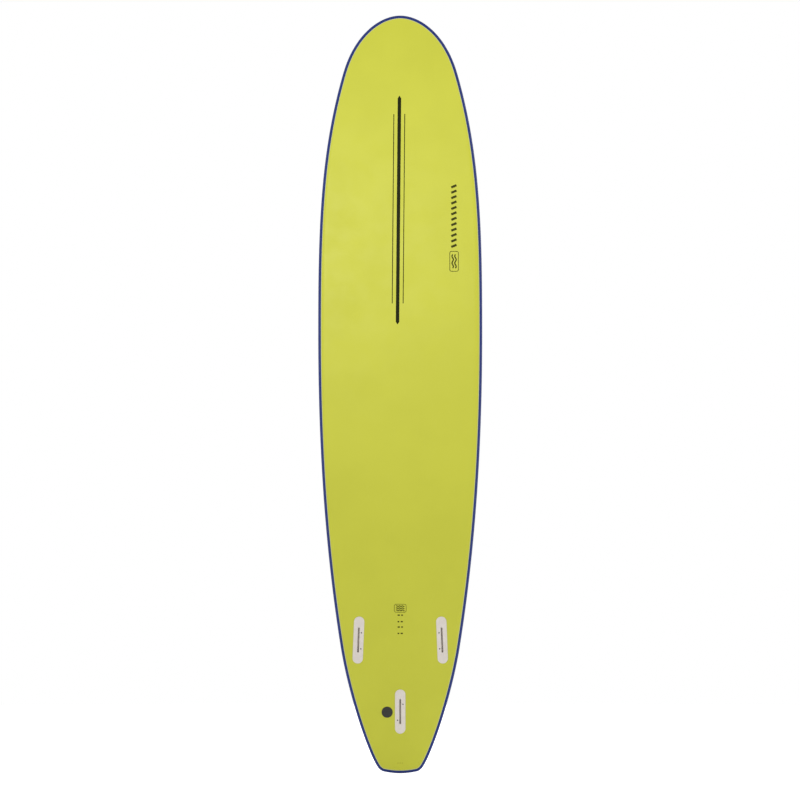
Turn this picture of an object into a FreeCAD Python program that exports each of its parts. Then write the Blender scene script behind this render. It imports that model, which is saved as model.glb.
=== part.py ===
import FreeCAD, Part
import math
import os

# A soft-top surfboard, nine feet long, standing on its tail.
# Millimetres. +Z runs from the tail to the nose, +Y from the bottom to the deck, and +X is the
# surfer's left. Z is 0 at the tail's end, X is 0 on the centreline, and Y is 0 halfway through the
# board's overall depth.
#
# The board is a shaped foam core with two wooden stringers, wrapped in a foam deck skin that also
# covers the rails, with a slick plastic sheet on the bottom. Three fin boxes with grub screws are
# let into the bottom, and a through-bolted leash plug joins a base disc to a cup in the deck.

Vector = FreeCAD.Vector

# The whole board
LENGTH = 2743.2
HALF_WIDTH = 296.6
THICKNESS = 84.0
NOSE_THICKNESS = 30.0
TAIL_THICKNESS = 32.0
THICKEST_AT = 1450.0
NOSE_THINNING = 2.2
TAIL_THINNING = 2.6
NOSE_ROCKER = 112.0
TAIL_ROCKER = 50.0
FLATTEST_AT = 1150.0
NOSE_ROCKER_POWER = 2.6
TAIL_ROCKER_POWER = 2.4
DEPTH_CENTRE = 70.0

# The cross-section, as shares of the local thickness
RAIL_LINE_HEIGHT = 0.42
DECK_CROWN = 0.22
DECK_ROUNDING = 0.95
BOTTOM_ROUNDING = 0.36

# The layers
SKIN = 4.0
GLUE = 0.25
SEAM_INSET = 9.6
STRINGER_OFFSET = 85.0
STRINGER_THICKNESS = 3.0
JOINING_TOLERANCE = 1e-3

# The outline's right-hand half, as (half width, height above the tail), in cubic Bezier arcs
OUTLINE = [
    [(0.0, LENGTH), (70.2, LENGTH), (164.0, 2679.7), (206.1, 2534.2)],
    [(206.1, 2534.2), (289.9, 2244.2), (HALF_WIDTH, 1970.8), (HALF_WIDTH, 1600.0)],
    [(HALF_WIDTH, 1600.0), (HALF_WIDTH, 1314.6), (286.7, 903.9), (215.3, 457.8)],
    [(215.3, 457.8), (185.9, 274.1), (107.6, 49.4), (76.8, 17.0)],
    [(76.8, 17.0), (71.8, 11.8), (65.8, 7.9), (61.0, 6.8)],
    [(61.0, 6.8), (40.7, 2.3), (20.3, 0.0), (0.0, 0.0)],
]
STEPS_PER_ARC = [16, 12, 12, 18, 12, 12]
STEPS_ACROSS = 32
STEPS_AROUND_RAIL = 6
EDGE_SPACING = 0.3
STRINGER_STEPS = 28
STRINGER_STEP_GROWTH = 0.2

# The fin boxes
SIDE_BOX_X = 151.0
SIDE_BOX_Z = 483.0
SIDE_BOX_TOE = 2.3
SIDE_PLATE_LENGTH = 170.0
SIDE_PLATE_WIDTH = 37.5
CENTRE_BOX_Z = 224.0
CENTRE_PLATE_LENGTH = 160.5
CENTRE_PLATE_WIDTH = 38.0
PLATE_THICKNESS = 4.0
PLATE_PROUD = 0.4
PLATE_EDGE_ROUNDING = 0.6
BOX_BODY_LENGTH = 132.0
BOX_BODY_WIDTH = 31.0
BOX_DEPTH = 25.0
FIN_SLOT_LENGTH = 91.0
FIN_SLOT_WIDTH = 6.3
FIN_SLOT_DEPTH = 20.0
POCKET_GAP = 0.25

# The grub screws that clamp a fin's tab
SCREW_SPACING = 58.0
SCREW_OFFSET = 10.0
SCREW_SETBACK = 2.5
SCREW_TILT = 20.0
SCREW_RADIUS = 2.5
SCREW_LENGTH = 12.0
SCREW_RECESS = 1.5
SCREW_CLEARANCE = 0.05
SCREW_BORE_DEPTH = 18.5
SCREW_POINT_CHAMFER = 0.5
HEX_ACROSS_FLATS = 2.5
HEX_DEPTH = 3.0

# The leash plug
LEASH_X = -47.3
LEASH_Z = 222.0
BASE_RADIUS = 20.0
BASE_THICKNESS = 4.0
BASE_PROUD = 0.9
BASE_EDGE_ROUNDING = 1.2
STEM_RADIUS = 6.0
STEM_BORE_RADIUS = 3.05
STEM_BORE_LENGTH = 20.0
CUP_FLANGE_RADIUS = 22.0
CUP_FLANGE_THICKNESS = 3.0
CUP_PROUD = 0.9
CUP_EDGE_ROUNDING = 1.0
CUP_OUTER_RADIUS = 17.5
CUP_INNER_RADIUS = 14.5
CUP_DEPTH = 19.0
CUP_FLOOR = 3.0
CUP_HOLE_RADIUS = 3.3
BAR_RADIUS = 2.5
BAR_DEPTH = 5.5
BAR_END_INSET = 1.0
LEASH_SCREW_RADIUS = 3.0
LEASH_SCREW_HEAD_RADIUS = 5.5
LEASH_SCREW_HEAD_HEIGHT = 3.3
LEASH_SCREW_LENGTH = 20.0
LEASH_SCREW_HEX = 4.0
LEASH_SCREW_HEX_DEPTH = 2.0


# ---------------------------------------------------------------- the board's shape

def bezier(points, t):
    """The point at t on a cubic Bezier arc, and its direction."""
    s = 1.0 - t
    place = [s**3, 3 * s * s * t, 3 * s * t * t, t**3]
    speed = [-3 * s * s, 3 * s * s - 6 * s * t, 6 * s * t - 3 * t * t, 3 * t * t]
    x, z = (sum(k * p[i] for k, p in zip(place, points)) for i in (0, 1))
    dx, dz = (sum(k * p[i] for k, p in zip(speed, points)) for i in (0, 1))
    length = math.hypot(dx, dz)
    return x, z, dx / length, dz / length


def outline_point(u, inset):
    """The outline's point at u arcs from the nose, moved inwards by inset, and its direction."""
    arc = min(int(u), len(OUTLINE) - 1)
    x, z, dx, dz = bezier(OUTLINE[arc], u - arc)
    return x + inset * dz, z - inset * dx, dx, dz


def outline_ends(inset):
    """The heights of the outline's nose end and tail end."""
    return LENGTH - inset, inset


def outline_at(z, inset):
    """The inset outline's half width at height z, and how fast that grows with z."""
    low, high = 0.0, float(len(OUTLINE))
    for _ in range(60):
        middle = (low + high) / 2
        if outline_point(middle, inset)[1] > z:
            low = middle
        else:
            high = middle
    x, _, dx, dz = outline_point((low + high) / 2, inset)
    return max(x, 1e-9), dx / min(dz, -1e-12)


def edge_distance(x, z, inset):
    """How far (x, z) is inside the inset outline, measured so that it varies smoothly."""
    top, bottom = outline_ends(inset)
    if z > top - 1e-9 or z < bottom + 1e-9:
        return 0.0
    width, growth = outline_at(z, inset)
    return max(width**2 - x**2, 0.0) / (2 * width * math.hypot(1, growth))


def rocker(z):
    """How far the bottom's centreline rises towards the deck at height z."""
    if z > FLATTEST_AT:
        return NOSE_ROCKER * ((z - FLATTEST_AT) / (LENGTH - FLATTEST_AT)) ** NOSE_ROCKER_POWER
    return TAIL_ROCKER * ((FLATTEST_AT - z) / FLATTEST_AT) ** TAIL_ROCKER_POWER


def thickness(z):
    """The board's thickness on its centreline at height z, before its ends are rounded."""
    if z > THICKEST_AT:
        share = ((z - THICKEST_AT) / (LENGTH - THICKEST_AT)) ** NOSE_THINNING
        return THICKNESS + share * (NOSE_THICKNESS - THICKNESS)
    share = ((THICKEST_AT - z) / THICKEST_AT) ** TAIL_THINNING
    return THICKNESS + share * (TAIL_THICKNESS - THICKNESS)


def rounding(distance, reach):
    """0 at the rail line, rising to 1 where the rail's rounding ends, reach inside it."""
    short = max(0.0, 1.0 - distance / reach)
    return math.sqrt(1.0 - short**3)


def rail_line(z):
    """The depth of the rail's outermost line at height z."""
    return rocker(z) + RAIL_LINE_HEIGHT * thickness(z) - DEPTH_CENTRE


def bottom_depth(x, z, inset):
    """The depth of the bottom at (x, z), with the shape shrunk by inset all round."""
    thick = thickness(z)
    rise = rounding(edge_distance(x, z, inset), BOTTOM_ROUNDING * thick - inset)
    return rail_line(z) - (RAIL_LINE_HEIGHT * thick - inset) * rise


def deck_depth(x, z, inset):
    """The depth of the deck at (x, z), with the shape shrunk by inset all round."""
    thick = thickness(z)
    crown = DECK_CROWN * (x / max(outline_at(z, 0.0)[0], abs(x), 1e-6)) ** 2
    rise = rounding(edge_distance(x, z, inset), DECK_ROUNDING * thick - inset)
    return rail_line(z) + (thick * (1 - crown - RAIL_LINE_HEIGHT) - inset) * rise


# ---------------------------------------------------------------- smooth surfaces

def stations():
    """Where the surfaces are measured along the outline, in arcs from the nose."""
    found = [arc + k / steps for arc, steps in enumerate(STEPS_PER_ARC) for k in range(steps)]
    return found + [float(len(OUTLINE))]


def distances_along():
    """Each station's distance along the outline, from the nose."""
    places = [outline_point(u, 0.0)[:2] for u in stations()]
    total = [0.0]
    for (x0, z0), (x1, z1) in zip(places, places[1:]):
        total.append(total[-1] + math.hypot(x1 - x0, z1 - z0))
    return total


def spline(points, parameters):
    """The smooth curve through points at the given parameters."""
    curve = Part.BSplineCurve()
    curve.interpolate(Points=points, Parameters=parameters)
    return curve


def pole_row(points, parameters):
    """The control points of the curve through points, which may all be one point at an end."""
    if all(point.isEqual(points[0], 1e-6) for point in points):
        return [points[0]] * (len(points) + 2)
    return spline(points, parameters).getPoles()


def smooth_surface(rows, across):
    """The smooth surface through rows of points, one row per station."""
    along = distances_along()
    lengthwise = [spline([row[j] for row in rows], along) for j in range(len(across))]
    poles = [[curve.getPole(i + 1) for curve in lengthwise] for i in range(len(along) + 2)]
    crosswise = spline(rows[len(rows) // 2], across)
    surface = Part.BSplineSurface()
    surface.buildFromPolesMultsKnots(
        [pole_row(row, across) for row in poles],
        lengthwise[0].getMultiplicities(),
        crosswise.getMultiplicities(),
        lengthwise[0].getKnots(),
        crosswise.getKnots(),
        False,
        False,
        lengthwise[0].Degree,
        crosswise.Degree,
    )
    return surface


def full_surface(depth, inset):
    """A deck or bottom that turns upright at the inset outline."""
    turns = [math.pi * (k / STEPS_ACROSS - 0.5) for k in range(STEPS_ACROSS + 1)]
    rows = []
    for u in stations():
        width, z = outline_point(u, inset)[:2]
        row = [Vector(width * math.sin(a), 0, z) for a in turns]
        rows.append([Vector(p.x, depth(p.x, p.z, inset), p.z) for p in row])
    return smooth_surface(rows, turns)


def sheet_surface(outline_inset, inset):
    """The part of the bottom inside the outline moved in by outline_inset."""
    across = [2.0 * k / STEPS_ACROSS - 1.0 for k in range(STEPS_ACROSS + 1)]
    rows = []
    for u in stations():
        width, z = outline_point(u, outline_inset)[:2]
        row = []
        for s in across:
            share = EDGE_SPACING * s + (1 - EDGE_SPACING) * (1.5 * s - 0.5 * s**3)
            row.append(Vector(width * share, bottom_depth(width * share, z, inset), z))
        rows.append(row)
    return smooth_surface(rows, across)


def rail_surface(side, outline_inset, inset):
    """The band under one rail, from the rail line in to the seam with the bottom sheet."""
    around = [k / STEPS_AROUND_RAIL for k in range(STEPS_AROUND_RAIL + 1)]
    rows = []
    for u in stations():
        row = []
        for v in around:
            x, z = outline_point(u, inset + (outline_inset - inset) * v**2)[:2]
            row.append(Vector(side * x, bottom_depth(x, z, inset), z))
        rows.append(row)
    return smooth_surface(rows, around)


def rim_faces(outline_inset, outer, inner):
    """The two faces that join the edges of an outer and an inner sheet."""
    faces = []
    for side in (-1, 1):
        edges = []
        for inset in (outer, inner):
            points = []
            for u in stations():
                x, z = outline_point(u, outline_inset)[:2]
                points.append(Vector(side * x, bottom_depth(x, z, inset), z))
            edges.append(spline(points, distances_along()).toShape())
        faces.append(Part.makeRuledSurface(edges[0], edges[1]))
    return faces


def closed_solid(faces):
    """One solid from faces that meet at their edges."""
    joined, _ = faces[0].generalFuse(faces[1:], JOINING_TOLERANCE)
    shell = Part.Compound(joined.Faces)
    shell.sewShape()
    solid = Part.makeSolid(shell.Shells[0])
    if solid.Volume < 0:
        solid.reverse()
    return solid


def core_blank():
    """The whole foam core with its stringers, before it is split and pocketed."""
    inset = SKIN + GLUE
    faces = [full_surface(depth, inset).toShape() for depth in (deck_depth, bottom_depth)]
    return closed_solid(faces)


def deck_skin_blank():
    """The foam that covers the deck and wraps round the rails to the seam."""
    faces = [full_surface(deck_depth, inset).toShape() for inset in (0.0, SKIN)]
    for side in (-1, 1):
        for inset in (0.0, SKIN):
            faces.append(rail_surface(side, SEAM_INSET, inset).toShape())
    return closed_solid(faces + rim_faces(SEAM_INSET, 0.0, SKIN))


def bottom_slick_blank():
    """The slick sheet, with its thin backing, inside the seam."""
    edge = SEAM_INSET + GLUE
    faces = [sheet_surface(edge, inset).toShape() for inset in (0.0, SKIN)]
    return closed_solid(faces + rim_faces(edge, 0.0, SKIN))


def outline_crossings(x, inset):
    """The heights where the inset outline's half width is x, near the tail and near the nose."""
    found = []
    for narrow, wide in ((float(len(OUTLINE)), 3.0), (0.0, 1.0)):
        for _ in range(60):
            middle = (narrow + wide) / 2
            if outline_point(middle, inset)[0] < x:
                narrow = middle
            else:
                wide = middle
        found.append(outline_point(wide, inset)[1])
    return found


def stringer(side):
    """A wooden stringer: a flat board, cut to the core's profile and set upright in it."""
    inset = SKIN + GLUE
    inner = STRINGER_OFFSET - STRINGER_THICKNESS / 2
    outer = inner + STRINGER_THICKNESS
    low, high = outline_crossings(outer, inset)
    ramp = [math.cosh(STRINGER_STEP_GROWTH * k) - 1 for k in range(STRINGER_STEPS + 1)]
    heights = [low + (high - low) / 2 * r / ramp[-1] for r in ramp]
    heights += [low + high - z for z in reversed(heights[:-1])]
    edges = []
    for depth in (deck_depth, bottom_depth):
        points = [Vector(side * inner, depth(outer, z, inset), z) for z in heights]
        for place, z in ((0, low), (-1, high)):
            points[place] = Vector(side * inner, rail_line(z), z)
        edges.append(spline(points, list(range(len(points)))).toShape())
    return Part.Face(Part.Wire(edges)).extrude(Vector(side * STRINGER_THICKNESS, 0, 0))


# ---------------------------------------------------------------- fittings

def slope(depth, x, z):
    """How fast a surface's depth grows with z at (x, z)."""
    step = 1.0
    return (depth(x, z + step, 0.0) - depth(x, z - step, 0.0)) / (2 * step)


def box_placement(x, z, toe):
    """Where a fin box's face sits: local Y runs into the board and local Z along the slot."""
    tilt = math.degrees(math.atan(slope(bottom_depth, x, z)))
    turn = FreeCAD.Rotation(Vector(1, 0, 0), -tilt)
    turn = turn.multiply(FreeCAD.Rotation(Vector(0, 1, 0), toe))
    face = Vector(x, bottom_depth(x, z, 0.0), z)
    return FreeCAD.Placement(face - turn.multVec(Vector(0, PLATE_PROUD, 0)), turn)


def leash_placement():
    """Where the leash plug's base disc sits: local Y runs along the plug to the deck."""
    slopes = [slope(depth, LEASH_X, LEASH_Z) for depth in (bottom_depth, deck_depth)]
    tilt = math.degrees(math.atan(sum(slopes) / 2))
    turn = FreeCAD.Rotation(Vector(1, 0, 0), -tilt)
    face = Vector(LEASH_X, bottom_depth(LEASH_X, LEASH_Z, 0.0), LEASH_Z)
    return FreeCAD.Placement(face - turn.multVec(Vector(0, BASE_PROUD, 0)), turn)


def leash_length():
    """How far it is along the plug from the base disc's face to the cup's face."""
    placement = leash_placement()
    low, high = 0.0, 2 * THICKNESS
    for _ in range(40):
        middle = (low + high) / 2
        point = placement.multVec(Vector(0, middle, 0))
        if point.y < deck_depth(point.x, point.z, 0.0):
            low = middle
        else:
            high = middle
    return high + CUP_PROUD


def pill(length, width, start, depth):
    """A slab with round ends, long in Z, from y = start to y = start + depth."""
    radius = width / 2
    reach = length / 2 - radius
    corners = [Vector(-radius, start, -reach), Vector(-radius, start, reach)]
    corners += [Vector(radius, start, reach), Vector(radius, start, -reach)]
    ends = [Vector(0, start, reach + radius), Vector(0, start, -reach - radius)]
    edges = [
        Part.makeLine(corners[0], corners[1]),
        Part.Arc(corners[1], ends[0], corners[2]).toShape(),
        Part.makeLine(corners[2], corners[3]),
        Part.Arc(corners[3], ends[1], corners[0]).toShape(),
    ]
    return Part.Face(Part.Wire(edges)).extrude(Vector(0, depth, 0))


def rod(radius, start, length):
    """A cylinder along Y."""
    return Part.makeCylinder(radius, length, Vector(0, start, 0), Vector(0, 1, 0))


def hexagon(across_flats, start, depth):
    """A six-sided prism along Y."""
    radius = across_flats / math.sqrt(3)
    angles = [math.radians(60 * k) for k in range(7)]
    points = [Vector(radius * math.cos(a), start, radius * math.sin(a)) for a in angles]
    return Part.Face(Part.makePolygon(points)).extrude(Vector(0, depth, 0))


def rounded(solid, edges_at, amount):
    """The solid with its edges in the plane y = edges_at rounded."""
    edges = []
    for edge in solid.Edges:
        box = edge.BoundBox
        if abs(box.YMin - edges_at) < 1e-6 and abs(box.YMax - edges_at) < 1e-6:
            edges.append(edge)
    return solid.makeFillet(amount, edges)


def screw_placement(side, end):
    """A grub screw's mouth in its box: side is which side of the slot, end is -1 or 1."""
    place = Vector(side * SCREW_OFFSET, 0, end * SCREW_SPACING / 2 - SCREW_SETBACK)
    return FreeCAD.Placement(place, FreeCAD.Rotation(Vector(0, 0, 1), side * SCREW_TILT))


def grub_screw():
    """A headless screw with a hexagon socket, its axis along Y from the mouth of its bore."""
    body = rod(SCREW_RADIUS, SCREW_RECESS, SCREW_LENGTH)
    tip = SCREW_RECESS + SCREW_LENGTH
    points = [edge for edge in body.Edges if abs(edge.BoundBox.Center.y - tip) < 1e-6]
    body = body.makeChamfer(SCREW_POINT_CHAMFER, points)
    return body.cut(hexagon(HEX_ACROSS_FLATS, SCREW_RECESS - 1, HEX_DEPTH + 1))


def fin_box(plate_length, plate_width, screws):
    """A fin box: a plate with round ends, a deep body, a slot for the fin's tab and its bores."""
    plate = rounded(pill(plate_length, plate_width, 0, PLATE_THICKNESS), 0, PLATE_EDGE_ROUNDING)
    body = pill(BOX_BODY_LENGTH, BOX_BODY_WIDTH, PLATE_THICKNESS / 2, BOX_DEPTH - PLATE_THICKNESS / 2)
    box = plate.fuse(body).removeSplitter()
    box = box.cut(pill(FIN_SLOT_LENGTH, FIN_SLOT_WIDTH, -1, FIN_SLOT_DEPTH + 1))
    for side, end in screws:
        bore = rod(SCREW_RADIUS + SCREW_CLEARANCE, -2, SCREW_BORE_DEPTH + 2)
        bore.Placement = screw_placement(side, end)
        box = box.cut(bore)
    return box


def box_pockets(plate_length, plate_width):
    """What a fin box needs cut away: the plate's opening, and the body's pocket."""
    gap = 2 * POCKET_GAP
    opening = pill(plate_length + gap, plate_width + gap, -5, PLATE_THICKNESS + 10)
    pocket = pill(BOX_BODY_LENGTH + gap, BOX_BODY_WIDTH + gap, -5, BOX_DEPTH + POCKET_GAP + 5)
    return opening, pocket


def fin_boxes():
    """Every fin box as (name, placement, plate size, screws), with each screw as (name, side, end)."""
    ends = [("front", 1), ("rear", -1)]
    boxes = []
    for name, side in (("left", 1), ("right", -1)):
        placement = box_placement(side * SIDE_BOX_X, SIDE_BOX_Z, -side * SIDE_BOX_TOE)
        screws = [(place, -side, end) for place, end in ends]
        boxes.append((name, placement, (SIDE_PLATE_LENGTH, SIDE_PLATE_WIDTH), screws))
    screws = [(place, end, end) for place, end in ends]
    placement = box_placement(0.0, CENTRE_BOX_Z, 0.0)
    boxes.append(("centre", placement, (CENTRE_PLATE_LENGTH, CENTRE_PLATE_WIDTH), screws))
    return boxes


def leash_base():
    """The disc on the bottom, with the threaded stem that runs up to the cup."""
    disc = rounded(rod(BASE_RADIUS, 0, BASE_THICKNESS), 0, BASE_EDGE_ROUNDING)
    top = leash_length() - CUP_DEPTH
    stem = rod(STEM_RADIUS, BASE_THICKNESS / 2, top - BASE_THICKNESS / 2)
    base = disc.fuse(stem).removeSplitter()
    return base.cut(rod(STEM_BORE_RADIUS, top - STEM_BORE_LENGTH, STEM_BORE_LENGTH + 1))


def leash_cup():
    """The cup in the deck, with a hole in its floor for the screw and one across for the bar."""
    face = leash_length()
    flange = rod(CUP_FLANGE_RADIUS, face - CUP_FLANGE_THICKNESS, CUP_FLANGE_THICKNESS)
    flange = rounded(flange, face, CUP_EDGE_ROUNDING)
    cup = flange.fuse(rod(CUP_OUTER_RADIUS, face - CUP_DEPTH, CUP_DEPTH - 1)).removeSplitter()
    cup = cup.cut(rod(CUP_INNER_RADIUS, face - CUP_DEPTH + CUP_FLOOR, CUP_DEPTH))
    cup = cup.cut(rod(CUP_HOLE_RADIUS, face - CUP_DEPTH - 1, CUP_FLOOR + 2))
    return cup.cut(cross_bar(BAR_RADIUS))


def cross_bar(radius):
    """The bar that a leash string loops round, across the cup."""
    reach = CUP_OUTER_RADIUS - BAR_END_INSET
    start = Vector(-reach, leash_length() - BAR_DEPTH, 0)
    return Part.makeCylinder(radius, 2 * reach, start, Vector(1, 0, 0))


def leash_screw():
    """The screw inside the cup that pulls the base's stem against the cup's floor."""
    floor = leash_length() - CUP_DEPTH + CUP_FLOOR
    head = rod(LEASH_SCREW_HEAD_RADIUS, floor, LEASH_SCREW_HEAD_HEIGHT)
    shank = rod(LEASH_SCREW_RADIUS, floor - LEASH_SCREW_LENGTH, LEASH_SCREW_LENGTH + 1)
    top = floor + LEASH_SCREW_HEAD_HEIGHT
    socket = hexagon(LEASH_SCREW_HEX, top - LEASH_SCREW_HEX_DEPTH, LEASH_SCREW_HEX_DEPTH + 1)
    return head.fuse(shank).removeSplitter().cut(socket)


def placed(solid, placement):
    """A copy of the solid, moved to the placement."""
    moved = solid.copy()
    moved.Placement = placement.multiply(moved.Placement)
    return moved


# ---------------------------------------------------------------- the assembly

def slab(x_from, x_to):
    """A block that holds everything between two lengthwise planes."""
    corner = Vector(x_from, -2 * THICKNESS, -10)
    return Part.makeBox(x_to - x_from, 4 * THICKNESS, LENGTH + 20, corner)


def split_core(core):
    """The core's three foam strips, either side of the stringers."""
    inner = STRINGER_OFFSET - STRINGER_THICKNESS / 2 - GLUE
    outer = STRINGER_OFFSET + STRINGER_THICKNESS / 2 + GLUE
    edge = HALF_WIDTH + 10
    ranges = {
        "core_left": (outer, edge),
        "core_centre": (-inner, inner),
        "core_right": (-edge, -outer),
    }
    return {name: core.common(slab(*ends)) for name, ends in ranges.items()}


def board_pieces():
    """The core pieces, the deck skin and the bottom slick, with their pockets."""
    slick = bottom_slick_blank()
    core = core_blank()
    skin = deck_skin_blank()
    for _, placement, plate, _ in fin_boxes():
        opening, pocket = box_pockets(*plate)
        slick = slick.cut(placed(opening, placement))
        core = core.cut(placed(pocket, placement))
    plug = leash_placement()
    face = leash_length()
    slick = slick.cut(placed(rod(BASE_RADIUS + POCKET_GAP, -5, BASE_THICKNESS + 10), plug))
    cup_hole = rod(CUP_OUTER_RADIUS + POCKET_GAP, face - CUP_DEPTH, CUP_DEPTH + 10)
    core = core.cut(placed(cup_hole, plug))
    core = core.cut(placed(rod(STEM_RADIUS + POCKET_GAP, -5, face), plug))
    flange_hole = rod(CUP_FLANGE_RADIUS + POCKET_GAP, face - CUP_FLANGE_THICKNESS - 5, 20)
    skin = skin.cut(placed(flange_hole, plug))
    stringers = {"stringer_left": stringer(1), "stringer_right": stringer(-1)}
    return {**split_core(core), **stringers, "deck_skin": skin, "bottom_slick": slick}


def fittings():
    """The fin boxes, their grub screws and the leash plug's pieces."""
    found = {}
    for name, placement, plate, screws in fin_boxes():
        found["fin_box_" + name] = placed(fin_box(*plate, [s[1:] for s in screws]), placement)
        for end_name, side, end in screws:
            screw = placed(grub_screw(), placement.multiply(screw_placement(side, end)))
            found["fin_screw_" + name + "_" + end_name] = screw
    plug = leash_placement()
    found["leash_base"] = placed(leash_base(), plug)
    found["leash_cup"] = placed(leash_cup(), plug)
    found["leash_bar"] = placed(cross_bar(BAR_RADIUS), plug)
    found["leash_screw"] = placed(leash_screw(), plug)
    return found


os.makedirs("parts", exist_ok=True)
for node, shape in {**board_pieces(), **fittings()}.items():
    shape.exportStep("parts/" + node + ".step")
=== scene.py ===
import math

import bmesh
import bpy
import numpy as np
from mathutils import Matrix, Vector


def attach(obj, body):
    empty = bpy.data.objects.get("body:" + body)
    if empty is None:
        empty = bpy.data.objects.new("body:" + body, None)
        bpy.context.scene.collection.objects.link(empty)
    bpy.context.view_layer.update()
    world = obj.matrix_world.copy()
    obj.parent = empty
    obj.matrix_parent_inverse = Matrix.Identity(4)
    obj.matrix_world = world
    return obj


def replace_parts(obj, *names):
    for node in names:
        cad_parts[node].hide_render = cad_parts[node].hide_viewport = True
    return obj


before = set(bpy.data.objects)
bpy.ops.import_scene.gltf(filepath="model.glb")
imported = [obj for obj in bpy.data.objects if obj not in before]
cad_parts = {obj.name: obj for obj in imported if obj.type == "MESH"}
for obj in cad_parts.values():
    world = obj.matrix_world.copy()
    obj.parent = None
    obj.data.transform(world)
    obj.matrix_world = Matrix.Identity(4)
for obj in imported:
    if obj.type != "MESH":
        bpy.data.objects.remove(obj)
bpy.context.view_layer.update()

# The looks of a soft-top surfboard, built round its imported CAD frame. Shapes are worked out in
# millimetres with the CAD's own formulas and turned into metres when a mesh is made. +Z runs from
# the tail to the nose, +Y from the bottom to the deck, and +X is the surfer's left.

MM = 0.001

# The board's shape, as in the CAD
LENGTH = 2743.2
HALF_WIDTH = 296.6
THICKNESS = 84.0
NOSE_THICKNESS = 30.0
TAIL_THICKNESS = 32.0
THICKEST_AT = 1450.0
NOSE_THINNING = 2.2
TAIL_THINNING = 2.6
NOSE_ROCKER = 112.0
TAIL_ROCKER = 50.0
FLATTEST_AT = 1150.0
NOSE_ROCKER_POWER = 2.6
TAIL_ROCKER_POWER = 2.4
DEPTH_CENTRE = 70.0
RAIL_LINE_HEIGHT = 0.42
DECK_CROWN = 0.22
DECK_ROUNDING = 0.95
BOTTOM_ROUNDING = 0.36
OUTLINE = np.array([
    [(0.0, LENGTH), (70.2, LENGTH), (164.0, 2679.7), (206.1, 2534.2)],
    [(206.1, 2534.2), (289.9, 2244.2), (HALF_WIDTH, 1970.8), (HALF_WIDTH, 1600.0)],
    [(HALF_WIDTH, 1600.0), (HALF_WIDTH, 1314.6), (286.7, 903.9), (215.3, 457.8)],
    [(215.3, 457.8), (185.9, 274.1), (107.6, 49.4), (76.8, 17.0)],
    [(76.8, 17.0), (71.8, 11.8), (65.8, 7.9), (61.0, 6.8)],
    [(61.0, 6.8), (40.7, 2.3), (20.3, 0.0), (0.0, 0.0)],
])
SKIN = 4.0
SEAM_INSET = 9.6
SHEET_INSET = 9.85
GAP = 0.25

# How finely the meshes are divided
STEPS_PER_ARC = [56, 64, 64, 56, 14, 14]
DECK_COLUMNS = 96
DECK_INNER_COLUMNS = 32
SHEET_COLUMNS = 88
SHEET_BACK_COLUMNS = 22
UNDER_RAIL_ROWS = 12
SMOOTH_ANGLE = math.radians(32)

# The sheet's columns stand closer at its edges: their spacing there, as a share of an even one
EDGE_SPACING = 0.3

# How finely the shape is measured: halvings of the outline, and the step that gives a slope
HALVINGS = 48
SLOPE_STEP = 1.0

# In metres: points this close are merged, and edges this short are removed
MERGE_DISTANCE = 2e-7
SHORTEST_EDGE = 1e-7

# The seam: the foam's edge rolls over, and the sheet's cut edge shows as a pale line. The foam's
# steps are shares of its roll from the seam, and the sheet's are distances in from its edge.
FOAM_ROLL = 0.9
FOAM_ROLL_STEPS = np.array([0.7, 0.4, 0.18, 0.05, 0.0])
SHEET_ROLL = 0.7
SHEET_ROLL_STEPS = (0.0, 0.06, 0.18, 0.38)
PALE_EDGE = 1.9

# Fin boxes and leash plug, as in the CAD. A box is its place across the board, its height, its
# toe in degrees, and its plate's length and width.
SIDE_BOX = (151.0, 483.0, 2.3, 170.0, 37.5)
CENTRE_BOX = (0.0, 224.0, 0.0, 160.5, 38.0)
PLATE_PROUD = 0.4
LEASH_PLACE = (-47.3, 222.0)
LEASH_BASE_RADIUS = 20.0
LEASH_FLANGE_RADIUS = 22.0
CUTTER_REACH = 9.0

# Prints on the bottom sheet: how far they stand out of it and reach into it
PRINT_LIFT = 0.12
PRINT_SUNK = 0.06
POINTS_PER_WAVE = 16

# The long strip: the heights of its ends, how far across it is there, the length of its points,
# and the share of its width that is left at a tip. The thin lines run beside it.
STRIP_ENDS = (1623.4, 2451.7)
STRIP_LEAN = (-9.9, -2.7)
STRIP_HALF_WIDTH = 6.3
STRIP_POINT = 9.8
STRIP_TIP = 0.06
STRIP_POINTS = 80
STRIP_TIP_POINTS = 5
SIDE_LINE_ENDS = (1699.5, 2385.0)
SIDE_LINE_OFFSET = 19.7
SIDE_LINE_HALF_WIDTH = 1.5
SIDE_LINE_POINTS = 72

# The side mark: a column of slanted bars above a frame with upright waves in it. A frame is its
# width, height and corner radius, and a wave is its length, height and number of waves.
SLANT_COUNT = 12
SLANT_TOP = 2123.0
SLANT_PITCH = 19.6
SLANT_ENDS = (184.5, 203.5)
SLANT_RISE = 4.0
SLANT_HALF_WIDTH = 4.2
SIDE_FRAME_CENTRE = (194.6, 1851.5)
SIDE_FRAME = (31.0, 72.0, 6.0)
SIDE_FRAME_HALF_WIDTH = 1.1
SIDE_WAVE = (50.0, 5.0, 2)
SIDE_WAVE_COUNT = 2
SIDE_WAVE_START = 189.6
SIDE_WAVE_PITCH = 10.0
SIDE_WAVE_HALF_WIDTH = 2.3

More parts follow.
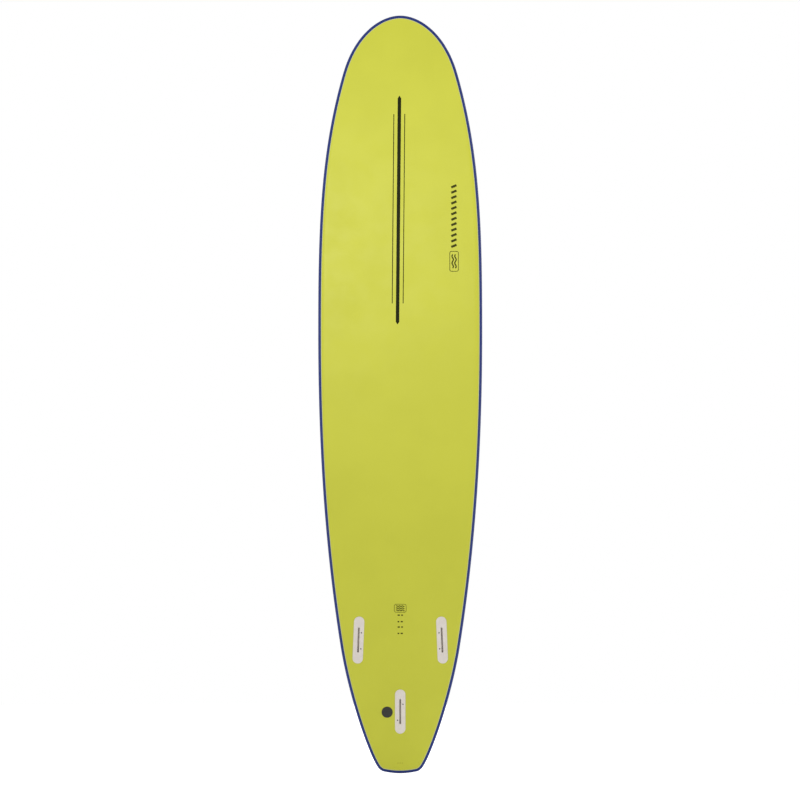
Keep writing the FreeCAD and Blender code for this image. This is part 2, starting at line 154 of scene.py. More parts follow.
# The tail mark: a frame of waves above rows of two dashes, and every second row is mirrored
TAIL_FRAME_CENTRE = (0.0, 598.0)
TAIL_FRAME = (43.0, 29.0, 7.0)
TAIL_FRAME_HALF_WIDTH = 0.8
TAIL_WAVE = (30.0, 3.6, 3)
TAIL_WAVE_COUNT = 3
TAIL_WAVE_START = 590.5
TAIL_WAVE_PITCH = 7.5
TAIL_WAVE_HALF_WIDTH = 1.5
DASH_ROWS = (573.0, 549.5, 530.0, 507.0)
DASHES = ((-9.5, -1.5), (3.5, 9.5))
DASH_HALF_WIDTH = 2.4

# The tip mark: three dashes side by side
TIP_DASH_HEIGHT = 37.5
TIP_DASH_PLACES = (-8.0, 0.0, 8.0)
TIP_DASH_REACH = 2.5
TIP_DASH_HALF_WIDTH = 1.6

# The Mix node's colour sockets go by number, because it has several of each name
MIX_FIRST = 6
MIX_SECOND = 7
MIX_RESULT = 2

# The studio, in metres. A light is its name, place, target, width, power in watts and spread in
# degrees. The view's width is how much the picture spans at the board.
LIGHTS = (
    ("key", (-0.7, -3.4, 2.35), (0, 0, 2.35), 1.2, 4.3, 60),
    ("fill", (3.4, -4.4, 2.8), (0, 0, 1.8), 2.0, 9, 180),
    ("back", (2.0, 3.6, 3.2), (0, 0, 1.5), 2.0, 60, 180),
)
WORLD_LIGHT = 0.665
FLOOR_RADIUS = 9.0
FLOOR_SIDES = 96
FLOOR_DROP = 0.0005
FLOOR_LIFT = 0.6
FLOOR_GLOW = 0.22
CAMERA_SIDE = -0.0008
CAMERA_HEIGHT = 1.3522
CAMERA_DISTANCE = 40.0
CAMERA_FARTHEST = 200.0
SENSOR_MM = 36.0
VIEW_WIDTH = 2.8948


# ---------------------------------------------------------------- the board's shape

def outline_point(u, inset):
    """The outline's points at u arcs from the nose, moved inwards by inset, and their directions."""
    u = np.asarray(u, float)
    arc = np.minimum(u.astype(int), len(OUTLINE) - 1)
    t = u - arc
    s = 1 - t
    place = np.stack([s**3, 3 * s * s * t, 3 * s * t * t, t**3], -1)
    speed = np.stack([-3 * s * s, 3 * s * s - 6 * s * t, 6 * s * t - 3 * t * t, 3 * t * t], -1)
    x, z = np.moveaxis((place[..., None] * OUTLINE[arc]).sum(-2), -1, 0)
    dx, dz = np.moveaxis((speed[..., None] * OUTLINE[arc]).sum(-2), -1, 0)
    length = np.hypot(dx, dz)
    dx, dz = dx / length, dz / length
    return x + inset * dz, z - inset * dx, dx, dz


def outline_at(z, inset):
    """The inset outline's half width at heights z, and how fast that grows with z."""
    low = np.zeros_like(z)
    high = np.full_like(z, float(len(OUTLINE)))
    for _ in range(HALVINGS):
        middle = (low + high) / 2
        above = outline_point(middle, inset)[1] > z
        low = np.where(above, middle, low)
        high = np.where(above, high, middle)
    x, _, dx, dz = outline_point((low + high) / 2, inset)
    return np.maximum(x, 1e-9), dx / np.minimum(dz, -1e-12)


def edge_distance(x, z, inset):
    """How far (x, z) is inside the inset outline, measured so that it varies smoothly."""
    width, growth = outline_at(z, inset)
    distance = np.maximum(width**2 - x**2, 0) / (2 * width * np.hypot(1, growth))
    outside = (z > LENGTH - inset - 1e-9) | (z < inset + 1e-9)
    return np.where(outside, 0.0, distance)


def rocker(z):
    """How far the bottom's centreline rises towards the deck at heights z."""
    ahead = np.maximum(z - FLATTEST_AT, 0) / (LENGTH - FLATTEST_AT)
    behind = np.maximum(FLATTEST_AT - z, 0) / FLATTEST_AT
    return NOSE_ROCKER * ahead**NOSE_ROCKER_POWER + TAIL_ROCKER * behind**TAIL_ROCKER_POWER


def thickness(z):
    """The board's thickness on its centreline at heights z, before its ends are rounded."""
    ahead = (np.maximum(z - THICKEST_AT, 0) / (LENGTH - THICKEST_AT)) ** NOSE_THINNING
    behind = (np.maximum(THICKEST_AT - z, 0) / THICKEST_AT) ** TAIL_THINNING
    thinner = ahead * (THICKNESS - NOSE_THICKNESS) + behind * (THICKNESS - TAIL_THICKNESS)
    return THICKNESS - thinner


def rounding(distance, reach):
    """0 at the rail line, rising to 1 where the rail's rounding ends, reach inside it."""
    short = np.maximum(0, 1 - distance / reach)
    return np.sqrt(1 - short**3)


def rail_line(z):
    """The depth of the rail's outermost line at heights z."""
    return rocker(z) + RAIL_LINE_HEIGHT * thickness(z) - DEPTH_CENTRE


def bottom_depth(x, z, inset=0.0):
    """The depth of the bottom at (x, z), with the shape shrunk by inset all round."""
    x, z = np.broadcast_arrays(np.asarray(x, float), np.asarray(z, float))
    thick = thickness(z)
    rise = rounding(edge_distance(x, z, inset), BOTTOM_ROUNDING * thick - inset)
    return rail_line(z) - (RAIL_LINE_HEIGHT * thick - inset) * rise


def deck_depth(x, z, inset=0.0):
    """The depth of the deck at (x, z), with the shape shrunk by inset all round."""
    x, z = np.broadcast_arrays(np.asarray(x, float), np.asarray(z, float))
    thick = thickness(z)
    width = np.maximum(np.maximum(outline_at(z, 0.0)[0], np.abs(x)), 1e-6)
    crown = DECK_CROWN * (x / width) ** 2
    rise = rounding(edge_distance(x, z, inset), DECK_ROUNDING * thick - inset)
    return rail_line(z) + (thick * (1 - crown - RAIL_LINE_HEIGHT) - inset) * rise


def stations():
    """Where the meshes are measured along the outline, in arcs from the nose."""
    found = [arc + k / steps for arc, steps in enumerate(STEPS_PER_ARC) for k in range(steps)]
    return np.array(found + [float(len(OUTLINE))])


# ---------------------------------------------------------------- mesh making

def fixed_piece(name, mesh):
    """An object from a mesh, in its own place on the board."""
    made = bpy.data.objects.new(name, mesh)
    bpy.context.scene.collection.objects.link(made)
    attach(made, "board")
    return made


def smoothed(mesh):
    """Smooth shading, with a hard edge wherever two faces meet at more than the smooth angle."""
    work = bmesh.new()
    work.from_mesh(mesh)
    bmesh.ops.remove_doubles(work, verts=work.verts, dist=MERGE_DISTANCE)
    bmesh.ops.dissolve_degenerate(work, edges=work.edges, dist=SHORTEST_EDGE)
    bmesh.ops.recalc_face_normals(work, faces=work.faces)
    for face in work.faces:
        face.smooth = True
    for edge in work.edges:
        edge.smooth = len(edge.link_faces) == 2 and edge.calc_face_angle(0.0) < SMOOTH_ANGLE
    work.to_mesh(mesh)
    work.free()
    return mesh


def lofted(loops, materials=(), wrap=False, caps=False, material_of=None):
    """A mesh through closed loops of points in millimetres, given as rows x points x 3."""
    rows, columns = loops.shape[:2]
    faces = []
    indices = []
    for i in range(rows if wrap else rows - 1):
        for j in range(columns):
            a, b = i * columns, (i + 1) % rows * columns
            k = (j + 1) % columns
            faces.append((a + j, a + k, b + k, b + j))
            indices.append(material_of[j] if material_of is not None else 0)
    if caps:
        faces.append(tuple(range(columns)))
        faces.append(tuple(range((rows - 1) * columns, rows * columns)))
        indices += [0, 0]
    mesh = bpy.data.meshes.new("piece")
    mesh.from_pydata((loops.reshape(-1, 3) * MM).tolist(), [], faces)
    for material in materials:
        mesh.materials.append(material)
    mesh.polygons.foreach_set("material_index", indices)
    return smoothed(mesh)


def joined(meshes, materials=()):
    """One mesh from several."""
    work = bmesh.new()
    for mesh in meshes:
        work.from_mesh(mesh)
        bpy.data.meshes.remove(mesh)
    whole = bpy.data.meshes.new("piece")
    work.to_mesh(whole)
    work.free()
    for material in materials:
        whole.materials.append(material)
    return whole


def cut(mesh, cutter):
    """The mesh with the cutter's volume taken away."""
    body = bpy.data.objects.new("cut_body", mesh)
    tool = bpy.data.objects.new("cut_tool", cutter)
    for made in (body, tool):
        bpy.context.scene.collection.objects.link(made)
    modifier = body.modifiers.new("cut", "BOOLEAN")
    modifier.operation = "DIFFERENCE"
    modifier.solver = "EXACT"
    modifier.object = tool
    evaluated = body.evaluated_get(bpy.context.evaluated_depsgraph_get())
    result = bpy.data.meshes.new_from_object(evaluated)
    for made in (body, tool):
        bpy.data.objects.remove(made)
    return smoothed(result)


def pill_outline(length, width, steps=28):
    """Points round a shape with straight sides and round ends, as (x, z)."""
    radius = width / 2
    reach = length / 2 - radius
    angles = np.linspace(0, math.pi, steps + 1)
    top = np.stack([radius * np.cos(angles), reach + radius * np.sin(angles)], -1)
    return np.concatenate([top, -top])


def placed_prism(outline, start, end, place):
    """A prism along local Y, from (x, z) points, put at a 4x4 place in millimetres."""
    loops = []
    for depth in (start, end):
        points = np.stack([outline[:, 0], np.full(len(outline), depth), outline[:, 1]], -1)
        loops.append(points @ place[:3, :3].T + place[:3, 3])
    return lofted(np.array(loops), caps=True)


def slope(depth, x, z):
    """How fast a surface's depth grows with z at (x, z)."""
    return float(depth(x, z + SLOPE_STEP) - depth(x, z - SLOPE_STEP)) / (2 * SLOPE_STEP)


def placement(x, z, tilt, toe, proud):
    """A 4x4 place on the bottom: local Y runs into the board, and proud sticks out of it."""
    turn = Matrix.Rotation(-tilt, 3, "X") @ Matrix.Rotation(math.radians(toe), 3, "Y")
    face = Vector((x, float(bottom_depth(x, z)), z)) - turn @ Vector((0, proud, 0))
    whole = np.eye(4)
    whole[:3, :3] = np.array(turn)
    whole[:3, 3] = face
    return whole


def circle(radius, steps=72):
    """Points round a circle, as (x, z)."""
    angles = np.linspace(0, 2 * math.pi, steps, endpoint=False)
    return radius * np.stack([np.cos(angles), np.sin(angles)], -1)


def leash_place():
    """Where the leash plug sits: local Y runs along it from the bottom to the deck."""
    slopes = [slope(depth, *LEASH_PLACE) for depth in (bottom_depth, deck_depth)]
    return placement(*LEASH_PLACE, math.atan(sum(slopes) / 2), 0.0, 0.0)


def sheet_openings():
    """One cutter for the openings round the fin boxes' plates and the leash plug's disc."""
    made = []
    for x, z, toe, length, width in (SIDE_BOX, CENTRE_BOX):
        for side in ((1, -1) if x else (1,)):
            tilt = math.atan(slope(bottom_depth, side * x, z))
            place = placement(side * x, z, tilt, -side * toe, PLATE_PROUD)
            outline = pill_outline(length + 2 * GAP, width + 2 * GAP)
            made.append(placed_prism(outline, -CUTTER_REACH, CUTTER_REACH, place))
    radius = LEASH_BASE_RADIUS + GAP
    made.append(placed_prism(circle(radius), -CUTTER_REACH, CUTTER_REACH, leash_place()))
    return joined(made)


# ---------------------------------------------------------------- the two skins

def rolled(distance, radius):
    """How far an edge of this radius falls back, at a distance inside it."""
    short = np.clip(1 - distance / radius, 0, 1)
    return radius * (1 - np.sqrt(1 - short**2))


def under_rail(side, insets, inset, roll):
    """Points under one rail, one column per inset of the outline, rolled at the seam if asked."""
    u = stations()
    columns = []
    for reach in insets:
        x, z = outline_point(u, reach)[:2]
        y = bottom_depth(x, z, inset) + (rolled(SEAM_INSET - reach, FOAM_ROLL) if roll else 0)
        columns.append(np.stack([side * x, y, z], -1))
    return np.stack(columns, 1)


def over_deck(columns, inset):
    """Points across the deck, from the right rail line to the left one."""
    width, z = outline_point(stations(), inset)[:2]
    turns = np.linspace(-math.pi / 2, math.pi / 2, columns + 1)[1:-1]
    x = width[:, None] * np.sin(turns)
    z = np.repeat(z[:, None], len(turns), 1)
    return np.stack([x, deck_depth(x, z, inset), z], -1)


def deck_foam_mesh():
    """The foam over the deck and round the rails to the seam, four millimetres thick."""
    share = (np.arange(UNDER_RAIL_ROWS + 1) / UNDER_RAIL_ROWS) ** 2
    plain = share * (SEAM_INSET - FOAM_ROLL)
    roll = SEAM_INSET - FOAM_ROLL * FOAM_ROLL_STEPS
    outer = np.concatenate([plain, roll])
    inner = SKIN + share[::2] * (SEAM_INSET - SKIN)
    parts = [
        under_rail(-1, outer[::-1], 0.0, True),
        over_deck(DECK_COLUMNS, 0.0),
        under_rail(1, outer, 0.0, True),
        under_rail(1, inner[::-1], SKIN, False),
        over_deck(DECK_INNER_COLUMNS, SKIN)[:, ::-1],
        under_rail(-1, inner, SKIN, False),
    ]
    mesh = lofted(np.concatenate(parts, 1), [deck_foam()])
    face = slope(deck_depth, *LEASH_PLACE)
    x, z = LEASH_PLACE
    place = leash_place()
    far = (float(deck_depth(x, z)) - float(bottom_depth(x, z))) / math.hypot(1, face)
    hole = circle(LEASH_FLANGE_RADIUS + GAP)
    return cut(mesh, placed_prism(hole, far - CUTTER_REACH, far + 2 * CUTTER_REACH, place))


def sheet_edge(side, insets, back):
    """Columns of points along the bottom sheet's edge, on its face or on its back."""
    u = stations()
    columns = []
    for reach in insets:
        x, z = outline_point(u, reach)[:2]
        y = bottom_depth(x, z) + rolled(reach - SHEET_INSET, SHEET_ROLL)
        if back:
            y = bottom_depth(x, z, SKIN)
        columns.append(np.stack([side * x, y, z], -1))
    return np.stack(columns, 1)


def across_sheet(columns, reach, inset):
    """Points across the bottom sheet inside the outline moved in by reach."""
    width, z = outline_point(stations(), reach)[:2]
    s = np.linspace(-1, 1, columns + 1)[1:-1]
    share = EDGE_SPACING * s + (1 - EDGE_SPACING) * (1.5 * s - 0.5 * s**3)
    x = width[:, None] * share
    z = np.repeat(z[:, None], len(s), 1)
    return np.stack([x, bottom_depth(x, z, inset), z], -1)


def bottom_sheet_mesh():
    """The slick sheet: its face, its rolled pale edge, and its back four millimetres in."""
    edge = SHEET_INSET + np.array([*SHEET_ROLL_STEPS, SHEET_ROLL, PALE_EDGE])
    parts = [
        sheet_edge(-1, edge, False),
        across_sheet(SHEET_COLUMNS, edge[-1], 0.0),
        sheet_edge(1, edge[::-1], False),
        sheet_edge(1, [SHEET_INSET], True),
        across_sheet(SHEET_BACK_COLUMNS, SHEET_INSET, SKIN)[:, ::-1],
        sheet_edge(-1, [SHEET_INSET], True),
    ]
    loops = np.concatenate(parts, 1)
    columns = loops.shape[1]
    pale = np.zeros(columns, int)
    left_end = len(edge) - 1
    right_start = len(edge) + SHEET_COLUMNS - 1
    pale[:left_end] = 1
    pale[right_start:right_start + left_end + 1] = 1
    pale[-1] = 1
    sheet = lofted(loops, [slick_lime(), slick_edge()], material_of=pale)
    return cut(sheet, sheet_openings())


# ---------------------------------------------------------------- prints

def ribbon(path, half_width, closed=False, columns=2):
    """A thin closed strip that lies on the bottom sheet along a path of (x, z) points."""
    path = np.asarray(path, float)
    half_width = np.broadcast_to(np.asarray(half_width, float), len(path))
    if closed:
        along = np.roll(path, -1, 0) - np.roll(path, 1, 0)
    else:
        along = np.gradient(path, axis=0)
    along /= np.hypot(along[:, 0], along[:, 1])[:, None]
    normal = np.stack([along[:, 1], -along[:, 0]], -1)
    shares = np.linspace(-1, 1, columns + 1)
    points = path[:, None] + (normal * half_width[:, None])[:, None] * shares[None, :, None]
    x, z = points[..., 0], points[..., 1]
    y = bottom_depth(x, z)
    top = np.stack([x, y - PRINT_LIFT, z], -1)
    under = np.stack([x, y + PRINT_SUNK, z], -1)[:, ::-1]
    return lofted(np.concatenate([top, under], 1), wrap=closed, caps=not closed)


def straight(start, end, steps):
    """Points along a straight line."""
    share = np.linspace(0, 1, steps + 1)[:, None]
    return (1 - share) * np.array(start) + share * np.array(end)


def rounded_box(centre, width, height, radius, steps=8):
    """Points round a box with round corners, as (x, z)."""
    points = []
    for turn, (sx, sz) in enumerate(((1, 1), (-1, 1), (-1, -1), (1, -1))):
        corner = np.array(centre) + (sx * (width / 2 - radius), sz * (height / 2 - radius))
        for a in np.linspace(0, math.pi / 2, steps + 1):
            angle = a + turn * math.pi / 2
            points.append(corner + radius * np.array([math.cos(angle), math.sin(angle)]))
    return points


def wave(centre, length, height, waves, upright=False):
    """Points along a row of waves."""
    t = np.linspace(-0.5, 0.5, POINTS_PER_WAVE * waves + 1)
    run = t * length
    rise = height / 2 * np.sin(2 * math.pi * waves * (t + 0.5))
    offsets = np.stack([rise, run] if upright else [run, rise], -1)
    return np.array(centre) + offsets


def strip_line(z):
    """The long strip's own middle line at heights z: it leans a little across the board."""
    return np.interp(z, STRIP_ENDS, STRIP_LEAN)


def long_strip():
    """The dark strip down the upper half, with short pointed ends."""
    low, high = STRIP_ENDS
    body = np.linspace(low + STRIP_POINT, high - STRIP_POINT, STRIP_POINTS)
    tips = np.linspace(0, STRIP_POINT, STRIP_TIP_POINTS)
    z = np.concatenate([low + tips[:-1], body, high - tips[-2::-1]])
    from_end = np.minimum(z - low, high - z) / STRIP_POINT
    half = STRIP_HALF_WIDTH * np.clip(from_end, STRIP_TIP, 1)
    return ribbon(np.stack([strip_line(z), z], -1), half)


def side_lines():
    """The two thin lines beside the strip."""
    z = np.linspace(*SIDE_LINE_ENDS, SIDE_LINE_POINTS)
    offsets = (-SIDE_LINE_OFFSET, SIDE_LINE_OFFSET)
    paths = [np.stack([strip_line(z) + offset, z], -1) for offset in offsets]
    return [ribbon(path, SIDE_LINE_HALF_WIDTH) for path in paths]


def framed(centre, size, half_width):
    """The outline of a box with round corners, as a ribbon."""
    return ribbon(rounded_box(centre, *size), half_width, closed=True)


def side_mark(material):
    """A plain column of slanted bars, with a rounded box of waves below it."""
    made = []
    left, right = SLANT_ENDS
    for k in range(SLANT_COUNT):
        z = SLANT_TOP - SLANT_PITCH * k
        bar = straight((left, z - SLANT_RISE), (right, z + SLANT_RISE), 3)
        made.append(ribbon(bar, SLANT_HALF_WIDTH))
    made.append(framed(SIDE_FRAME_CENTRE, SIDE_FRAME, SIDE_FRAME_HALF_WIDTH))
    for k in range(SIDE_WAVE_COUNT):
        centre = (SIDE_WAVE_START + SIDE_WAVE_PITCH * k, SIDE_FRAME_CENTRE[1])
        made.append(ribbon(wave(centre, *SIDE_WAVE, upright=True), SIDE_WAVE_HALF_WIDTH))
    return joined(made, [material])


def tail_mark(material):
    """A small rounded box of waves, with four short rows of dashes below it."""
    made = [framed(TAIL_FRAME_CENTRE, TAIL_FRAME, TAIL_FRAME_HALF_WIDTH)]
    for k in range(TAIL_WAVE_COUNT):
        centre = (TAIL_FRAME_CENTRE[0], TAIL_WAVE_START + TAIL_WAVE_PITCH * k)
        made.append(ribbon(wave(centre, *TAIL_WAVE), TAIL_WAVE_HALF_WIDTH))
    for k, z in enumerate(DASH_ROWS):
        turn = -1 if k % 2 else 1
        for start, end in DASHES:
            dash = straight((start * turn, z), (end * turn, z), 2)
            made.append(ribbon(dash, DASH_HALF_WIDTH))
    return joined(made, [material])


def tip_mark(material):
    """Three faint dashes close to the tail's end."""
    made = []
    for x in TIP_DASH_PLACES:
        ends = [(x + reach, TIP_DASH_HEIGHT) for reach in (-TIP_DASH_REACH, TIP_DASH_REACH)]
        made.append(ribbon(straight(*ends, 2), TIP_DASH_HALF_WIDTH))
    return joined(made, [material])


# ---------------------------------------------------------------- materials

def colour(red, green, blue):
    """A linear colour from screen values between 0 and 255."""
    channels = []
    for value in (red, green, blue):
        c = value / 255
        channels.append(c / 12.92 if c <= 0.04045 else ((c + 0.055) / 1.055) ** 2.4)
    return (*channels, 1.0)


LIME = colour(206, 208, 62)
LIME_DARK = colour(203, 205, 60)
LIME_SCUFF = colour(214, 216, 104)
EDGE_PALE = colour(212, 216, 170)
EDGE_DARK = colour(196, 203, 146)
NAVY = colour(41, 59, 135)
NAVY_DARK = colour(37, 54, 126)
# painted shade for the hollows of the deck's embossed grain
NAVY_HOLLOW_SHADE = colour(29, 43, 107)
BOX_LIGHT = colour(234, 226, 219)
BOX_DARK = colour(228, 219, 212)
LEASH_LIGHT = colour(47, 47, 41)
LEASH_DARK = colour(40, 40, 35)
BAR_LIGHT = colour(202, 202, 204)
BAR_DARK = colour(178, 179, 182)
SCREW_LIGHT = colour(128, 129, 132)
SCREW_DARK = colour(108, 109, 113)
BEAD = colour(243, 243, 240)
BEAD_SEAM = colour(206, 207, 205)
WOOD = colour(214, 180, 130)
WOOD_DARK = colour(192, 152, 100)
WOOD_FIBRE = colour(150, 112, 70)
STRIP_INK = colour(28, 32, 0)
STRIP_WORN = colour(40, 42, 4)
MARK_INK = colour(62, 62, 12)
MARK_WORN = colour(96, 96, 22)
FAINT_INK = colour(186, 186, 62)
FAINT_WORN = colour(200, 200, 70)
FLOOR_LIGHT = colour(253, 253, 253)
FLOOR_DARK = colour(250, 250, 250)


class Finish:
    """A material put together from shader nodes, placed in metres in the board's frame."""

    def __init__(self, name, roughness, metallic=0.0, specular=0.5):
        self.material = bpy.data.materials.new(name)
        self.material.use_nodes = True
        self.tree = self.material.node_tree
        self.shader = self.tree.nodes["Principled BSDF"]
        self.shader.inputs["Roughness"].default_value = roughness
        self.shader.inputs["Metallic"].default_value = metallic
        self.shader.inputs["Specular IOR Level"].default_value = specular
        self.places = self.add("ShaderNodeTexCoord").outputs["Object"]
        self.normal = None

    def add(self, kind, **settings):
        """A new node with its settings."""
        node = self.tree.nodes.new(kind)
        for key, value in settings.items():
            setattr(node, key, value)
        return node

    def link(self, source, target):
        """Joins an output to an input, or sets the input to a value."""
        if isinstance(source, bpy.types.NodeSocket):
            self.tree.links.new(source, target)
        else:
            target.default_value = source

    def stretched(self, x, y, z):
        """The place in the frame, scaled along each axis."""
        node = self.add("ShaderNodeMapping")
        self.link(self.places, node.inputs["Vector"])
        node.inputs["Scale"].default_value = (x, y, z)
        return node.outputs["Vector"]

    def noise(self, scale, detail=3.0, vector=None, roughness=0.5):
        """Soft noise, about scale blobs to the metre."""
        node = self.add("ShaderNodeTexNoise")
        self.link(vector or self.places, node.inputs["Vector"])
        node.inputs["Scale"].default_value = scale
        node.inputs["Detail"].default_value = detail
        node.inputs["Roughness"].default_value = roughness
        return node.outputs["Fac"]

    def cells(self, scale, feature="F1", vector=None):
        """Distances in a field of cells, about scale cells to the metre."""
        node = self.add("ShaderNodeTexVoronoi", feature=feature)
        self.link(vector or self.places, node.inputs["Vector"])
        node.inputs["Scale"].default_value = scale
        return node.outputs["Distance"]

    def mapped(self, value, low, high, to_low=0.0, to_high=1.0):
        """A value between low and high, moved to lie between to_low and to_high."""
        node = self.add("ShaderNodeMapRange", interpolation_type="SMOOTHSTEP")
        self.link(value, node.inputs["Value"])
        limits = {"From Min": low, "From Max": high, "To Min": to_low, "To Max": to_high}
        for key, number in limits.items():
            node.inputs[key].default_value = number
        return node.outputs["Result"]

    def math(self, operation, a, b):
        """A sum, product or other result of two values."""
        node = self.add("ShaderNodeMath", operation=operation)
        self.link(a, node.inputs[0])
        self.link(b, node.inputs[1])
        return node.outputs["Value"]

    def mix(self, share, a, b):
        """A colour between a and b."""
        node = self.add("ShaderNodeMix", data_type="RGBA")
        self.link(share, node.inputs["Factor"])
        self.link(a, node.inputs[MIX_FIRST])
        self.link(b, node.inputs[MIX_SECOND])
        return node.outputs[MIX_RESULT]

    def base(self, value):
        """Sets the base colour."""
        self.link(value, self.shader.inputs["Base Color"])

    def rough(self, value):
        """Sets the roughness."""
        self.link(value, self.shader.inputs["Roughness"])

    def bump(self, height, depth_mm, strength=1.0):
        """Raises the surface by a height of 0 to 1 times a depth."""
        node = self.add("ShaderNodeBump")
        node.inputs["Strength"].default_value = strength
        node.inputs["Distance"].default_value = depth_mm * MM
        self.link(height, node.inputs["Height"])
        if self.normal is not None:
            self.tree.links.new(self.normal, node.inputs["Normal"])
        self.normal = node.outputs["Normal"]
        self.tree.links.new(self.normal, self.shader.inputs["Normal"])


def slick_lime():
    """The bottom sheet: waxy lime plastic, with faint scuffs along the board."""
    made = Finish("slick_lime", 0.42, specular=0.35)
    patches = made.mapped(made.noise(5.0, 4.0), 0.35, 0.65)
    tint = made.mix(patches, LIME_DARK, LIME)
    scuffs = made.noise(420.0, 2.0, made.stretched(1.0, 1.0, 0.035))
    marks = made.mapped(scuffs, 0.66, 0.74)
    made.base(made.mix(made.math("MULTIPLY", marks, 0.16), tint, LIME_SCUFF))
    haze = made.mapped(made.noise(14.0, 5.0), 0.3, 0.7, 0.36, 0.47)
    made.rough(made.math("ADD", haze, made.math("MULTIPLY", marks, 0.12)))
    made.bump(made.noise(2.2, 1.0), 1.6)
    made.bump(made.noise(260.0, 2.0), 0.09)
    made.bump(made.math("SUBTRACT", 1.0, marks), 0.03)
    return made.material


def slick_edge():
    """The sheet's cut edge and rolled rim, in a pale colour."""
    made = Finish("slick_edge", 0.55)
    made.base(made.mix(made.noise(160.0, 3.0), EDGE_DARK, EDGE_PALE))
    made.rough(made.mapped(made.noise(300.0, 2.0), 0.3, 0.7, 0.45, 0.65))
    made.bump(made.noise(700.0, 2.0), 0.08)
    return made.material


def deck_foam():
    """The soft skin: navy foam embossed with a fine pebbled grain, its hollows darkened by painted
    shade.
    """
    made = Finish("deck_foam", 0.8, specular=0.22)
    made.shader.inputs["Sheen Weight"].default_value = 0.06
    made.shader.inputs["Sheen Roughness"].default_value = 0.5
    pebble_hollows_and_shade = made.mapped(made.cells(430.0), 0.1, 0.75)
    clouds = made.mapped(made.noise(9.0, 4.0), 0.3, 0.7)
    tint = made.mix(clouds, NAVY_DARK, NAVY)
    # painted shade: the grain's hollows are darkened towards a deeper navy, as if shaded
    made.base(made.mix(made.math("MULTIPLY", pebble_hollows_and_shade, 0.35), tint, NAVY_HOLLOW_SHADE))
    made.rough(made.mapped(made.noise(60.0, 3.0), 0.3, 0.7, 0.7, 0.88))
    made.bump(made.math("SUBTRACT", 1.0, pebble_hollows_and_shade), 0.42)
    made.bump(made.noise(1500.0, 2.0), 0.06)
    return made.material


def moulded(name, light, dark, roughness, grain_mm):
    """Injection-moulded plastic with a fine spark-eroded grain."""
    made = Finish(name, roughness)
    made.base(made.mix(made.mapped(made.noise(45.0, 4.0), 0.3, 0.7), dark, light))
    made.rough(made.mapped(made.noise(150.0, 3.0), 0.3, 0.7, roughness - 0.06, roughness + 0.08))
    made.bump(made.noise(1800.0, 2.0), grain_mm)
    made.bump(made.noise(30.0, 2.0), 0.15)
    return made.material


def steel(name, light, dark, stretch):
    """Stainless steel with fine turning marks."""
    made = Finish(name, 0.34, metallic=1.0)
    lines = made.noise(2600.0, 2.0, made.stretched(*stretch))
    made.base(made.mix(made.mapped(lines, 0.3, 0.7), dark, light))
    made.rough(made.mapped(lines, 0.3, 0.7, 0.3, 0.4))
    made.bump(lines, 0.004)
    return made.material


def bead_foam():
    """The core: white foam of beads pressed together."""
    made = Finish("core_beads", 0.85, specular=0.3)
    seams = made.mapped(made.cells(300.0, "DISTANCE_TO_EDGE"), 0.0, 0.1)
    made.base(made.mix(seams, BEAD_SEAM, BEAD))
    made.rough(made.mapped(seams, 0.0, 1.0, 0.95, 0.78))
    made.bump(seams, 0.4)
    return made.material


def plywood():
    """The stringers: pale wood with its grain along the board."""
    made = Finish("stringer_plywood", 0.6)
    fibres = made.noise(900.0, 4.0, made.stretched(1.0, 1.0, 0.03))
    bands = made.noise(60.0, 3.0, made.stretched(1.0, 1.0, 0.06))
    wood = made.mix(made.mapped(bands, 0.35, 0.65), WOOD_DARK, WOOD)
    made.base(made.mix(made.mapped(fibres, 0.45, 0.7, 0.0, 0.5), wood, WOOD_FIBRE))
    made.rough(made.mapped(fibres, 0.3, 0.7, 0.5, 0.72))
    made.bump(fibres, 0.1)
    return made.material


def ink(name, tone, worn, roughness=0.45):
    """Screen-printed ink, slightly uneven where it has rubbed."""
    made = Finish(name, roughness, specular=0.1)
    rubbed = made.mapped(made.noise(120.0, 5.0, roughness=0.65), 0.5, 0.78)
    made.base(made.mix(made.math("MULTIPLY", rubbed, 0.6), tone, worn))
    made.rough(made.mapped(made.noise(240.0, 3.0), 0.3, 0.7, roughness - 0.06, roughness + 0.1))
    made.bump(made.noise(900.0, 2.0), 0.03)
    return made.material


# ---------------------------------------------------------------- the object

def carried_finishes():
    """The material of each CAD node that is shown as it is, by the start of its name."""
    screws = steel("screw_steel", SCREW_LIGHT, SCREW_DARK, (1.0, 0.1, 1.0))
    return {
        "core": bead_foam(),
        "stringer": plywood(),
        "fin_box": moulded("box_plastic", BOX_LIGHT, BOX_DARK, 0.5, 0.03),
        "fin_screw": screws,
        "leash_base": moulded("leash_base_plastic", LEASH_LIGHT, LEASH_DARK, 0.5, 0.04),
        "leash_cup": moulded("leash_cup_plastic", LEASH_LIGHT, LEASH_DARK, 0.46, 0.03),
        "leash_bar": steel("bar_steel", BAR_LIGHT, BAR_DARK, (0.1, 1.0, 1.0)),
        "leash_screw": screws,
    }


def finish_cad_nodes():
    """Gives every carried-over CAD node its procedural material."""
    finishes = carried_finishes()
    for name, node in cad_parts.items():
        for start, material in finishes.items():
            if name.startswith(start):
                node.data.materials.clear()
                node.data.materials.append(material)


def build_board():
    """The skins and the prints, all fixed to the board."""
    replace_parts(fixed_piece("bottom_sheet", bottom_sheet_mesh()), "bottom_slick")
    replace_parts(fixed_piece("deck_foam", deck_foam_mesh()), "deck_skin")
    mark = ink("mark_ink", MARK_INK, MARK_WORN)
    strip_ink = ink("strip_ink", STRIP_INK, STRIP_WORN)
    faint = ink("faint_ink", FAINT_INK, FAINT_WORN)
    fixed_piece("print_strip", joined([long_strip()], [strip_ink]))
    fixed_piece("print_side_lines", joined(side_lines(), [strip_ink]))
    fixed_piece("print_side_mark", side_mark(mark))
    fixed_piece("print_tail_mark", tail_mark(mark))
    fixed_piece("print_tip_mark", tip_mark(faint))


# ---------------------------------------------------------------- the studio

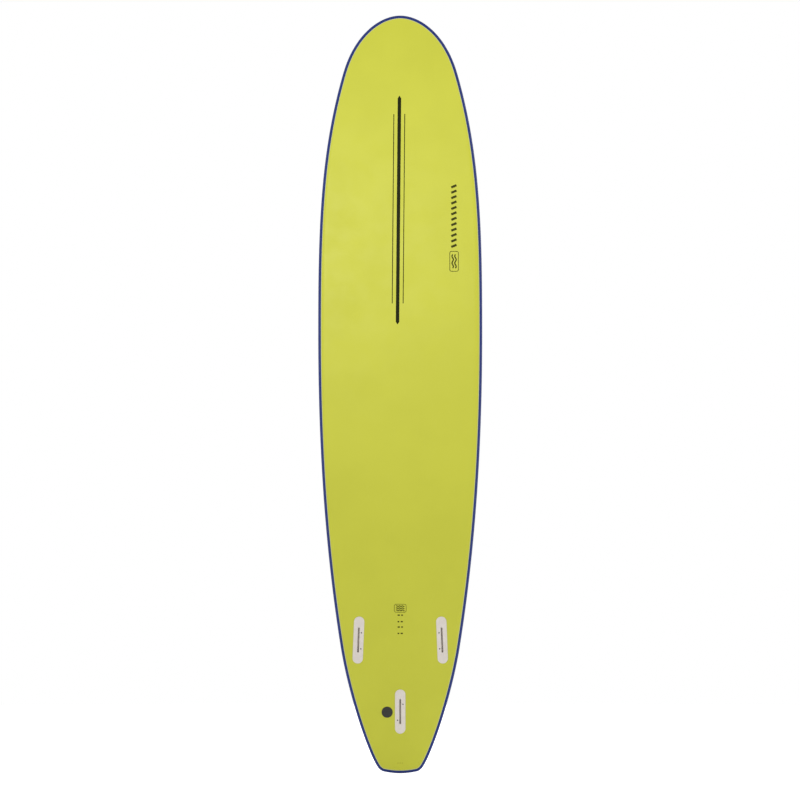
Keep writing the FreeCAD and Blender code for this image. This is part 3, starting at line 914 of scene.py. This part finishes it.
def floor():
    """A plain pale floor under the tail."""
    made = Finish("studio_floor", 0.9, specular=0.1)
    made.base(made.mix(made.noise(3.0, 3.0), FLOOR_DARK, FLOOR_LIGHT))
    seen = made.add("ShaderNodeLightPath").outputs["Is Camera Ray"]
    glow = made.math("ADD", made.math("MULTIPLY", seen, FLOOR_LIFT), FLOOR_GLOW)
    made.link(glow, made.shader.inputs["Emission Strength"])
    made.shader.inputs["Emission Color"].default_value = (1, 1, 1, 1)
    work = bmesh.new()
    bmesh.ops.create_circle(work, cap_ends=True, segments=FLOOR_SIDES, radius=FLOOR_RADIUS)
    mesh = bpy.data.meshes.new("floor")
    work.to_mesh(mesh)
    work.free()
    ground = bpy.data.objects.new("floor", mesh)
    ground.location.z = -FLOOR_DROP
    mesh.materials.append(made.material)
    bpy.context.scene.collection.objects.link(ground)


def softbox(name, place, target, size, power, spread):
    """A square area light that faces a point, with its spread in degrees."""
    light = bpy.data.lights.new(name, "AREA")
    light.spread = math.radians(spread)
    light.shape = "SQUARE"
    light.size = size
    light.energy = power
    made = bpy.data.objects.new(name, light)
    made.location = place
    made.rotation_mode = "QUATERNION"
    made.rotation_quaternion = (Vector(target) - Vector(place)).to_track_quat("-Z", "Y")
    bpy.context.scene.collection.objects.link(made)


def studio_world(light_strength):
    """White where the camera sees it, and a softer white as light."""
    world = bpy.data.worlds.new("studio")
    bpy.context.scene.world = world
    world.use_nodes = True
    tree = world.node_tree
    background = tree.nodes["Background"]
    background.inputs["Color"].default_value = (1, 1, 1, 1)
    rays = tree.nodes.new("ShaderNodeLightPath")
    strength = tree.nodes.new("ShaderNodeMapRange")
    strength.inputs["To Min"].default_value = light_strength
    strength.inputs["To Max"].default_value = 1.0
    tree.links.new(rays.outputs["Is Camera Ray"], strength.inputs["Value"])
    tree.links.new(strength.outputs["Result"], background.inputs["Strength"])


def camera():
    """A long lens square on to the bottom, so that the board keeps its true outline."""
    data = bpy.data.cameras.new("camera")
    data.sensor_width = SENSOR_MM
    data.lens = SENSOR_MM * CAMERA_DISTANCE / VIEW_WIDTH
    data.clip_end = CAMERA_FARTHEST
    made = bpy.data.objects.new("camera", data)
    made.location = (CAMERA_SIDE, -CAMERA_DISTANCE, CAMERA_HEIGHT)
    made.rotation_euler = (math.pi / 2, 0, 0)
    bpy.context.scene.collection.objects.link(made)
    bpy.context.scene.camera = made


finish_cad_nodes()
build_board()
floor()
for light in LIGHTS:
    softbox(*light)
studio_world(WORLD_LIGHT)
camera()
bpy.context.scene.view_settings.view_transform = "Standard"
